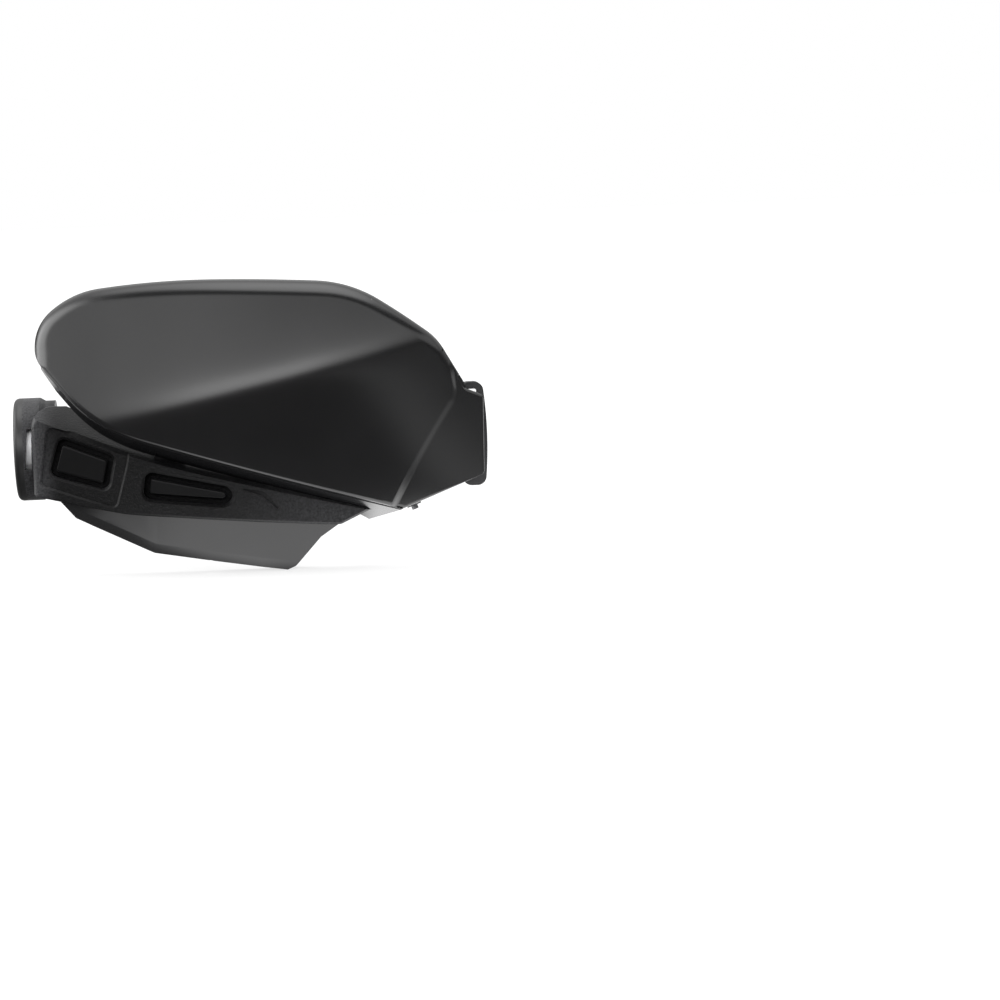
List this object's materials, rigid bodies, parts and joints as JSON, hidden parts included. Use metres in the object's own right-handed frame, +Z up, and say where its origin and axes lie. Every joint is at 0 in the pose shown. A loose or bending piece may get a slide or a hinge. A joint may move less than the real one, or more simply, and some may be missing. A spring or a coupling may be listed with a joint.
{
  "type": "motorcycle hand guard",
  "caption": "Black moulded hand guard with a crowned shield, a grained carrier arm with inserts, a lower lip, a bar-end cup with a steel weight and an inner handlebar clamp.",
  "frame": {"origin": "centre of the face against which the end of the handlebar is seated, on the bar's axis", "axes": "+X along the handlebar from its outer end inwards, +Y towards the rider, +Z up"},
  "size_m": [0.2631, 0.121, 0.1609],
  "materials": {
    "shield_plastic": "satin black",
    "band_plastic": "smooth black",
    "grained_plastic": "fine-grained black",
    "insert_plastic": "smooth black",
    "cap_plastic": "smooth black",
    "cast_alloy": "black powder coat",
    "bright_steel": "turned bright",
    "zinc_steel": "zinc plated",
    "spring_steel": "phosphated",
    "black_steel": "black oxide"
  },
  "bodies": {
    "root": {"main_shield": "shield_plastic", "under_band": "band_plastic", "carrier": "grained_plastic", "outer_insert": "insert_plastic", "inner_insert": "insert_plastic", "insert_clips": "spring_steel", "lower_deflector": "shield_plastic", "deflector_screws": "black_steel", "bar_end_cap": "cap_plastic", "bar_end_weight": "bright_steel", "bar_end_washer": "zinc_steel", "bar_end_bolt": "black_steel", "clamp_bracket": "cast_alloy", "clamp_cap": "cast_alloy", "clamp_bolts": "black_steel", "clamp_washers": "zinc_steel", "bracket_bolts": "black_steel", "bracket_washers": "zinc_steel", "shield_screws": "black_steel", "shield_washers": "zinc_steel", "wing_clip": "spring_steel"}
  },
  "joints": []
}
